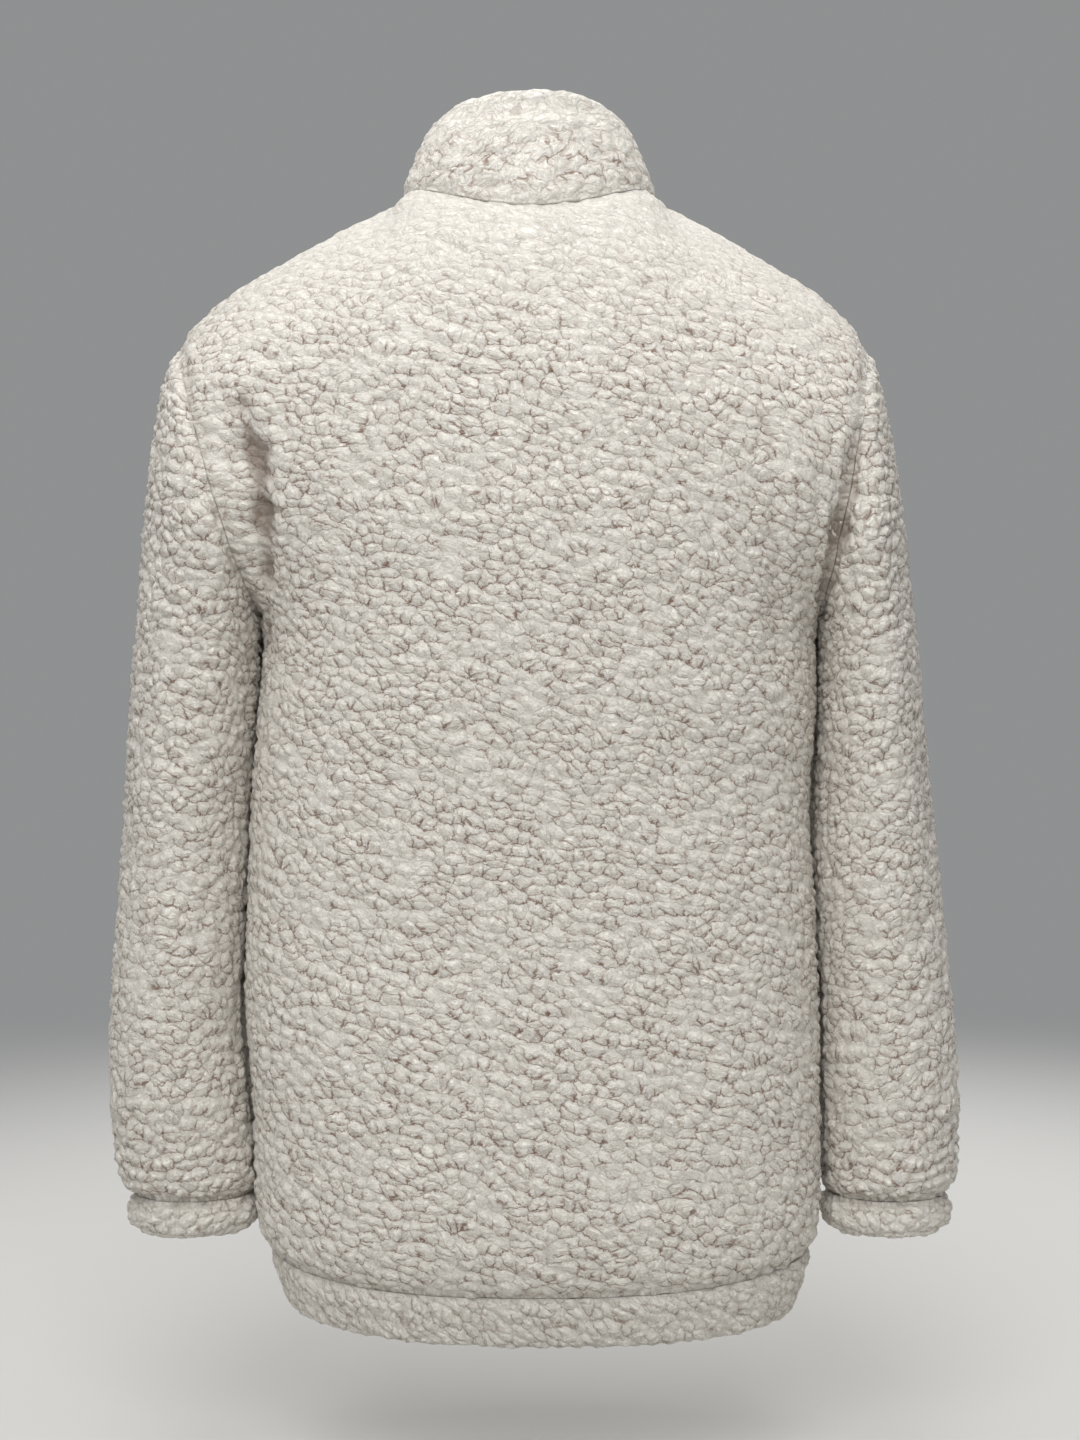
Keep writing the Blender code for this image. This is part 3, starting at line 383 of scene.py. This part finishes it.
def flat_places(bm):
    """Each point's place on the flat cut, and the pile side's area on the piece and on the flat cut."""
    uv = bm.loops.layers.uv.active
    flat, size_3d, size_2d = np.zeros((len(bm.verts), 2)), 0.0, 0.0
    for f in bm.faces:
        if f.material_index == PILE:
            at = [l[uv].uv for l in f.loops]
            for l, place in zip(f.loops, at):
                flat[l.vert.index] = place
            size_3d += f.calc_area()
            size_2d += abs(sum(p.cross(q) for p, q in zip(at, at[1:] + at[:1]))) / 2
    return flat, size_3d, size_2d


def panel(name, cuts, pile, lie=0.0, long=1.0, size=1.0, rise=0.0, low=-1.0, high=1.0, free=False, slit=0,
          groove=1.4, loft=2.8):
    """A sewn fleece piece on the form of its CAD solid, with curls outside and the backing inside.

    rise, low and high place the line that the outer side faces away from. pile gives the pile's depth
    in mm at points in mm. The curls lie lie radians below level, are long times as long as they are wide,
    and size times the usual. free says that an edge is unsewn, and slit on which side a tube's seam is.
    Seams lie groove mm deep, and the curls stand loft mm above the solid away from them.
    """
    piece, mesh = smooth_copy(name)
    bm = bmesh.new()
    bm.from_mesh(mesh)
    bm.normal_update()
    tube = "sleeve" in name or "cuff" in name
    places = np.array([v.co for v in bm.verts])
    shift, sunk = crease_shift(places / MM)
    creased = bm.verts.layers.float.new("sunk")
    for v, by, deep in zip(bm.verts, shift, sunk):
        v.co += Vector(by) * MM
        v[creased] = deep
    bm.normal_update()
    # The middle of the piece at 24 levels, each 30 mm deep.
    heights, middle = [], []
    for z in np.linspace(places[:, 2].min(), places[:, 2].max(), 24):
        band = places[abs(places[:, 2] - z) < 15 * MM]
        heights.append(z)
        middle.append((band[:, 0].min() + band[:, 0].max()) / 2)

    def facing(at, way):
        """How far a face looks away from the middle of the tube or body: 1 straight out, -1 straight in."""
        z = min(max(at.z, low), high)
        x = float(np.interp(z, heights, middle)) if tube else 2 * MM
        return way.dot((at - Vector((x, -8 * MM if tube else 0.0, z + rise))).normalized())

    for f in bm.faces:
        f.smooth = True
        if f.material_index != SEWN:
            # An unsewn edge rolls in sooner than a sewn one, whose faces may look sideways.
            outward = facing(f.calc_center_median(), f.normal) > (0.2 if free else -0.3)
            f.material_index = PILE if outward else INSIDE
    # Only the largest stretch of the outer side is fleece, and stray faces in folds belong inside.
    main = largest_stretch([f for f in bm.faces if f.material_index == PILE])
    for f in bm.faces:
        f.select = f in main
    for e in bm.edges:
        sides = [f.calc_center_median() for f in e.link_faces]
        crossed = (sides[0].y > SLIT_Y) != (sides[1].y > SLIT_Y) and e.link_faces[0].material_index == PILE
        split = slit and crossed and slit * (sides[0].x - np.interp(sides[0].z, heights, middle)) > 0
        e.seam = bool(split) or len({f.material_index for f in e.link_faces}) == 2
    bm.to_mesh(mesh)
    bm.free()
    piece.data = mesh
    cut_flat(piece)
    bm = bmesh.new()
    bm.from_mesh(mesh)
    bm.normal_update()
    sewn, through = ways_through(bm)
    edges = [e for e in bm.edges if any(f.material_index == PILE for f in e.link_faces)]
    bmesh.ops.subdivide_edges(bm, edges=edges, cuts=cuts, use_grid_fill=True)
    bmesh.ops.triangulate(bm, faces=[f for f in bm.faces if len(f.verts) > 4])
    outer = [v for v in bm.verts if all(f.material_index == PILE for f in v.link_faces)]
    for _ in range(10):
        bmesh.ops.smooth_vert(bm, verts=outer, factor=0.5, use_axis_x=True, use_axis_y=True, use_axis_z=True)
    bm.normal_update()
    bm.verts.index_update()
    seams = [v for v in bm.verts if any(f.material_index == PILE for f in v.link_faces)
             and any(e.seam and {f.material_index for f in e.link_faces} != {PILE, INSIDE} for e in v.link_edges)]
    lines = KDTree(len(seams))
    for v in seams:
        lines.insert(v.co, v.index)
    lines.balance()
    ways, gap, on = np.zeros((len(bm.verts), 3)), np.ones(len(bm.verts)), np.zeros(len(bm.verts))
    for v in bm.verts:
        kinds = [f.material_index for f in v.link_faces]
        ours = [f.normal for f in v.link_faces if f.material_index == PILE]
        ways[v.index] = sum(ours, Vector()).normalized() if ours else -v.normal
        if SEWN in kinds:
            near = [(through[i], 1 / (d + 0.1 * MM)) for _, i, d in sewn.find_n(v.co, 2)]
            ways[v.index] = sum((w * k for w, k in near), Vector()).normalized()
        if ours:
            gap[v.index] = lines.find(v.co)[2]
            on[v.index] = 0.85 if len(ours) < len(kinds) else 1.0  # the pile is a little shorter at an edge
    co = np.array([v.co for v in bm.verts])
    creased = bm.verts.layers.float["sunk"]
    sink = np.array([v[creased] for v in bm.verts])
    flat, size_3d, size_2d = flat_places(bm)
    bm.to_mesh(piece.data)
    bm.free()
    # A seam draws the pile in within 3 mm of its line, and 6 mm away the curls stand up in full.
    gap /= MM
    close = np.exp(-(gap / 3.0) ** 2)
    uneven = 1 + 0.35 * np.sin(co / MM @ (0.35, 0.3, 0.27)) + 0.25 * np.sin(co / MM @ (-0.7, 0.8, 0.6) + 1)
    # The neck seam is nearly hidden by the pile.
    uneven *= 1 - 0.8 * np.clip(co[:, 2] / MM / 15 + 1, 0, 1)
    puff = loft * (1 - np.exp(-(gap / 6.0) ** 2)) * (on > 0)
    # Painted shade in seams and creases: how far the colour darkens, more where a crease sinks deeper.
    hollow_shade = np.clip(0.2 * close * uneven + np.clip(sink - 1, 0, 9) / 5, 0, 1)
    depth = pile(co / MM) * MM * (1 - 0.25 * close) * on
    # Turn and scale the flat cut to real mm, upright as the piece is worn.
    cut = flat[on > 0] - flat[on > 0].mean(0)
    worn = co[on > 0][:, [1 if slit else 0, 2]]
    u, _, v = np.linalg.svd(cut.T @ (worn - worn.mean(0)))
    flat = (flat - flat[on > 0].mean(0)) @ (u @ v) * math.sqrt(size_3d / size_2d) / MM
    co = co - ways * ((groove * uneven * close - puff) * MM)[:, None]
    turned = np.stack([flat[:, 0] * math.cos(lie) - flat[:, 1] * math.sin(lie),
                       flat[:, 0] * math.sin(lie) + flat[:, 1] * math.cos(lie), 0 * flat[:, 0]], 1) / size
    turned[:, 0] /= long
    mesh = piece.data
    mesh.vertices.foreach_set("co", co.ravel())
    fields = {"lay": turned, "way": ways, "pile": depth, "hollow_shade": hollow_shade}
    for key, values in fields.items():
        wide = values.ndim == 2
        field = mesh.attributes.new(key, "FLOAT_VECTOR" if wide else "FLOAT", "POINT")
        field.data.foreach_set("vector" if wide else "value", values.astype(np.float32).ravel())
    mesh.update()
    curl = piece.modifiers.new("curls", "NODES")
    curl.node_group = pile_tree
    done = bpy.data.meshes.new_from_object(piece.evaluated_get(bpy.context.evaluated_depsgraph_get()))
    piece.modifiers.clear()
    piece.data = done
    piece.data.materials.clear()
    for m in (fleece, knit, fleece):  # in the order of PILE, INSIDE and SEWN
        piece.data.materials.append(m)
    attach(piece, "garment")
    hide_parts(name)
    return piece


def body_pile(c):
    """Full pile low on the body, shorter and smoother over the shoulders."""
    return 2.3 - 1.2 * np.clip((c[:, 2] + 110) / 90, 0, 1)


back = panel("back", 4, body_pile, -0.3, 1.5, high=-0.13)

# Front panel: one cut piece of the same fleece, slit down the middle from the neckline for the half zip.
# Its pile edges turn in over the zip tapes, and it is sewn to the back, the sleeves, the collar and the hem band.
front = panel("front", 3, body_pile, 0.2, 1.5, high=-0.13)

# Sleeves: one cut piece of the same fleece each, closed to a tube by a seam along its inner side.
# The top is set into the armhole of the front and back, and the end is drawn in by the cuff.
for side, sign in (("left", 1), ("right", -1)):
    sleeve = panel("sleeve_" + side, 4, lambda c: 2.6 + 0 * c[:, 2], 0.12, 1.3, 1.05, low=-0.6, high=-0.13,
                   slit=-sign, loft=3.4)

# Stand collar: a strip of the same fleece, doubled and folded along its top edge, with shorter and smoother pile.
# It is sewn round the neckline, and the upper end of the zip joins its two front edges.
collar = panel("collar", 4, lambda c: 1.4 + 0.9 * np.exp(-((c[:, 2] - 12) / 16) ** 2), -0.2, 1.4, 1.4, rise=-0.04,
               free=True, groove=0.7, loft=0.5)

# Hem band: a strip of the same fleece, doubled over a flat elastic and closed to a ring by a side seam.
# It is sewn round the bottom of the front and back and draws them in.
hem = panel("hem_band", 4, lambda c: 1.9 + 0 * c[:, 2], -0.1, 1.5, rise=0.04, free=True, slit=1, loft=1.2)

# Cuffs: narrow strips of the same fleece, each doubled over an elastic and closed to a ring.
# They are sewn round the ends of the sleeves.
for side, sign in (("left", 1), ("right", -1)):
    cuff = panel("cuff_" + side, 4, lambda c: 1.9 + 0 * c[:, 2], 0.1, 1.4, rise=0.03, free=True, slit=-sign, loft=1.2)

# Zip tapes: a woven polyester tape on each side, which carries one row of teeth along its edge.
# Each is sewn in behind the fleece, down the slit and up the collar.


def tape_weave():
    """Woven polyester tape: fine slanting ribs, dull cream."""
    mat = bpy.data.materials.new("woven_zip_tape")
    mat.use_nodes = True
    tree = mat.node_tree
    tree.nodes.clear()
    at = add(tree, "ShaderNodeTexCoord")
    slant = add(tree, "ShaderNodeMapping", Vector=at.outputs["Object"])
    slant.inputs["Rotation"].default_value = (0.0, 0.9, 0.0)
    # Ribs of 0.5 mm, drawn at 1 mm so that they show.
    ribs = add(tree, "ShaderNodeTexWave", {"wave_type": "BANDS", "bands_direction": "X"}, Vector=slant.outputs[0],
               Scale=160.0, Distortion=0.4, Detail=1.0)
    colour = add(tree, "ShaderNodeMix", {"data_type": "RGBA"}, in_0=ribs.outputs["Fac"], in_6=linear("#CFC5B2"),
                 in_7=linear("#E6DECF"))
    bump = add(tree, "ShaderNodeBump", Strength=0.6, Distance=0.2 * MM, Height=ribs.outputs["Fac"])
    shader = add(tree, "ShaderNodeBsdfPrincipled", Base_Color=colour.outputs[2], Normal=bump.outputs[0])
    shader.inputs["Roughness"].default_value = 0.75
    shader.inputs["Specular IOR Level"].default_value = 0.3
    add(tree, "ShaderNodeOutputMaterial", Surface=shader.outputs[0])
    return mat


def rounded(name, body, mat, bevel):
    """A zip part on the form of its CAD solid, with its edges rounded by bevel mm."""
    bm = bmesh.new()
    bm.from_mesh(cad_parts[name].data)
    bmesh.ops.remove_doubles(bm, verts=bm.verts, dist=0.00001)
    bmesh.ops.dissolve_limit(bm, angle_limit=math.radians(3), verts=bm.verts, edges=bm.edges)
    sharp = [e for e in bm.edges if e.calc_face_angle(0.0) > math.radians(40)]
    bmesh.ops.bevel(bm, geom=sharp, offset=bevel * MM, affect="EDGES", segments=2, profile=0.5, material=-1)
    for f in bm.faces:
        f.smooth = True
    mesh = bpy.data.meshes.new(name + "_shown")
    bm.to_mesh(mesh)
    bm.free()
    mesh.materials.append(mat)
    piece = bpy.data.objects.new(name + "_shown", mesh)
    bpy.context.scene.collection.objects.link(piece)
    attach(piece, body)
    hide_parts(name)
    return piece


weave = tape_weave()
for side in ("left", "right"):
    tape = rounded("zip_tape_" + side, "garment", weave, 0.15)

# Zip teeth: cream acetal teeth, each moulded straight onto the edge of its tape.
# Teeth of the two tapes follow each other in turn, and they are closed from the bottom stop up to the slider.


def acetal():
    """Moulded acetal: smooth and slightly glossy, with a faint cloudiness in its cream."""
    mat = bpy.data.materials.new("moulded_acetal")
    mat.use_nodes = True
    tree = mat.node_tree
    shader = tree.nodes["Principled BSDF"]
    at = add(tree, "ShaderNodeTexCoord")
    cloud = add(tree, "ShaderNodeTexNoise", Vector=at.outputs["Object"], Scale=600.0, Detail=2.0)
    colour = add(tree, "ShaderNodeMix", {"data_type": "RGBA"}, in_0=cloud.outputs[0], in_6=linear("#E0D8C8"),
                 in_7=linear("#EEE8DA"))
    tree.links.new(colour.outputs[2], shader.inputs["Base Color"])
    shader.inputs["Roughness"].default_value = 0.35
    return mat


PITCH = 1.35  # mm from a tooth on one side to the next on the other
THICK = 2.1  # mm through a tooth


def tooth(bm, at, up, out, side):
    """One tooth: a wide foot on its own tape, a narrow neck, and a wider head past the middle."""
    half = [(2.6, 0.6), (0.9, 0.6), (0.2, 0.42), (-0.5, 0.62), (-1.0, 0.45)]
    outline = half + [(x, -z) for x, z in reversed(half)]
    across = Vector((side, 0, 0))
    under = bm.faces.new([bm.verts.new(at + (across * x + up * z - out * THICK / 2) * MM) for x, z in outline])
    made = bmesh.ops.extrude_face_region(bm, geom=[under], use_keep_orig=True)["geom"]
    top = [v for v in made if isinstance(v, bmesh.types.BMVert)]
    bmesh.ops.translate(bm, verts=top, vec=out * THICK * MM)
    faces = list(dict.fromkeys([under] + [f for v in top for f in v.link_faces]))
    bmesh.ops.recalc_face_normals(bm, faces=faces)
    return [e for f in faces if len(f.verts) == len(outline) for e in f.edges]


# The chain's line runs midway between the two corners on the same side of each cut across its solid.
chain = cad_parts["zip_chain"].data
corners = np.unique(np.array([v.co for v in chain.vertices if v.co.x < 0]).round(6), axis=0)
apart = np.linalg.norm(corners[:, None] - corners[None], axis=-1) + np.eye(len(corners))
line = (corners + corners[apart.argmin(1)]) / 2
line = line[np.argsort(line[:, 2])][::2] * (0, 1, 1)
run = np.concatenate([[0], np.cumsum(np.linalg.norm(np.diff(line, axis=0), axis=1))]) / MM
bm = bmesh.new()
top_edges = []
for i, along in enumerate(np.arange(0.8, run[-1] - 0.8, PITCH)):
    at, ahead, behind = ([np.interp(q, run, line[:, k]) for k in range(3)] for q in (along, along + 3, along - 3))
    up = (Vector(ahead) - Vector(behind)).normalized()
    top_edges += tooth(bm, Vector(at), up, Vector((1, 0, 0)).cross(up), 1 if i % 2 else -1)
bmesh.ops.bevel(bm, geom=top_edges, offset=0.2 * MM, affect="EDGES", segments=1, profile=0.5, material=-1)
for f in bm.faces:
    f.smooth = True
mesh = bpy.data.meshes.new("zip_teeth")
bm.to_mesh(mesh)
bm.free()
mesh.materials.append(acetal())
teeth = bpy.data.objects.new("zip_teeth", mesh)
bpy.context.scene.collection.objects.link(teeth)
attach(teeth, "garment")
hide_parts("zip_chain")

# Slider, pull tab and bottom stop: die-cast zinc with baked cream enamel.
# The slider runs on the teeth, the tab swings on its bail, and the stop is clamped round both tapes.


def enamel():
    """Baked cream enamel on zinc: even and glossy, with a faint ripple."""
    mat = bpy.data.materials.new("baked_enamel")
    mat.use_nodes = True
    tree = mat.node_tree
    shader = tree.nodes["Principled BSDF"]
    at = add(tree, "ShaderNodeTexCoord")
    ripple = add(tree, "ShaderNodeTexNoise", Vector=at.outputs["Object"], Scale=900.0, Detail=1.0)
    bump = add(tree, "ShaderNodeBump", Strength=0.15, Distance=0.05 * MM, Height=ripple.outputs[0])
    colour = add(tree, "ShaderNodeMix", {"data_type": "RGBA"}, in_0=ripple.outputs[0], in_6=linear("#DDD3C0"),
                 in_7=linear("#E6DDCC"))
    tree.links.new(colour.outputs[2], shader.inputs["Base Color"])
    tree.links.new(bump.outputs[0], shader.inputs["Normal"])
    shader.inputs["Roughness"].default_value = 0.3
    shader.inputs["Coat Weight"].default_value = 0.4
    return mat


cream = enamel()
rounded("zip_slider", "garment", cream, 0.35)
rounded("zip_pull", "pull_tab", cream, 0.35)
rounded("zip_bottom_stop", "garment", cream, 0.4)

# Studio: a pale paper floor that fades out, a soft overhead light and two large soft lights.
# The camera looks at the back from the height of the middle, as in the photograph.
scene = bpy.context.scene
camera_data = bpy.data.cameras.new("camera")
camera_data.sensor_fit = "VERTICAL"
camera_data.angle_y = 2 * math.atan(0.439 / 1.35)  # the frame is 0.878 m high at the middle of the body, 1.35 m away
camera = bpy.data.objects.new("camera", camera_data)
scene.collection.objects.link(camera)
turned_back = Matrix.Rotation(math.pi, 4, "Z") @ Matrix.Rotation(math.pi / 2, 4, "X")
camera.matrix_world = Matrix.Translation((-0.0043, 1.35, -0.314)) @ turned_back
scene.camera = camera

bm = bmesh.new()
bmesh.ops.create_circle(bm, cap_ends=True, radius=2.4, segments=96, matrix=Matrix.Translation((0, 0, -0.76)))
floor_mesh = bpy.data.meshes.new("floor")
bm.to_mesh(floor_mesh)
bm.free()
floor = bpy.data.objects.new("floor", floor_mesh)
scene.collection.objects.link(floor)
paper = bpy.data.materials.new("pale_paper")
paper.use_nodes = True
tree = paper.node_tree
tree.nodes.clear()
at = add(tree, "ShaderNodeTexCoord")
far = add(tree, "ShaderNodeVectorMath", {"operation": "LENGTH"}, in_0=at.outputs["Object"])
fade = add(tree, "ShaderNodeMapRange", {"interpolation_type": "SMOOTHSTEP"}, in_0=far.outputs["Value"], in_1=1.0,
           in_2=2.3, in_3=0.0, in_4=1.0)
matt = add(tree, "ShaderNodeBsdfPrincipled", Base_Color=linear("#CAC9C6"), Roughness=0.9)
clear = add(tree, "ShaderNodeBsdfTransparent")
mixed = add(tree, "ShaderNodeMixShader", in_0=fade.outputs[0], in_1=matt.outputs[0], in_2=clear.outputs[0])
add(tree, "ShaderNodeOutputMaterial", Surface=mixed.outputs[0])
floor_mesh.materials.append(paper)

world = bpy.data.worlds.new("studio")
scene.world = world
world.use_nodes = True
sky = world.node_tree.nodes["Background"]
sky.inputs["Color"].default_value = linear("#D9DADB")
sky.inputs["Strength"].default_value = 0.4


def lamp(name, at, to, size, power):
    """A round soft light of this size in metres and power in watts, turned to a point."""
    data = bpy.data.lights.new(name, "AREA")
    data.shape = "DISK"
    data.size = size
    data.energy = power
    obj = bpy.data.objects.new(name, data)
    scene.collection.objects.link(obj)
    way = Vector(to) - Vector(at)
    obj.matrix_world = Matrix.Translation(at) @ way.to_track_quat("-Z", "Y").to_matrix().to_4x4()


lamp("overhead", (0.1, 0.3, 1.1), (0, 0, -0.2), 1.4, 12)
lamp("back_key", (0.15, 1.75, 0.9), (0, 0, -0.1), 1.6, 32)
lamp("front_key", (-0.4, -1.75, 0.9), (0, 0, -0.1), 1.6, 31)

scene.view_settings.view_transform = "Standard"
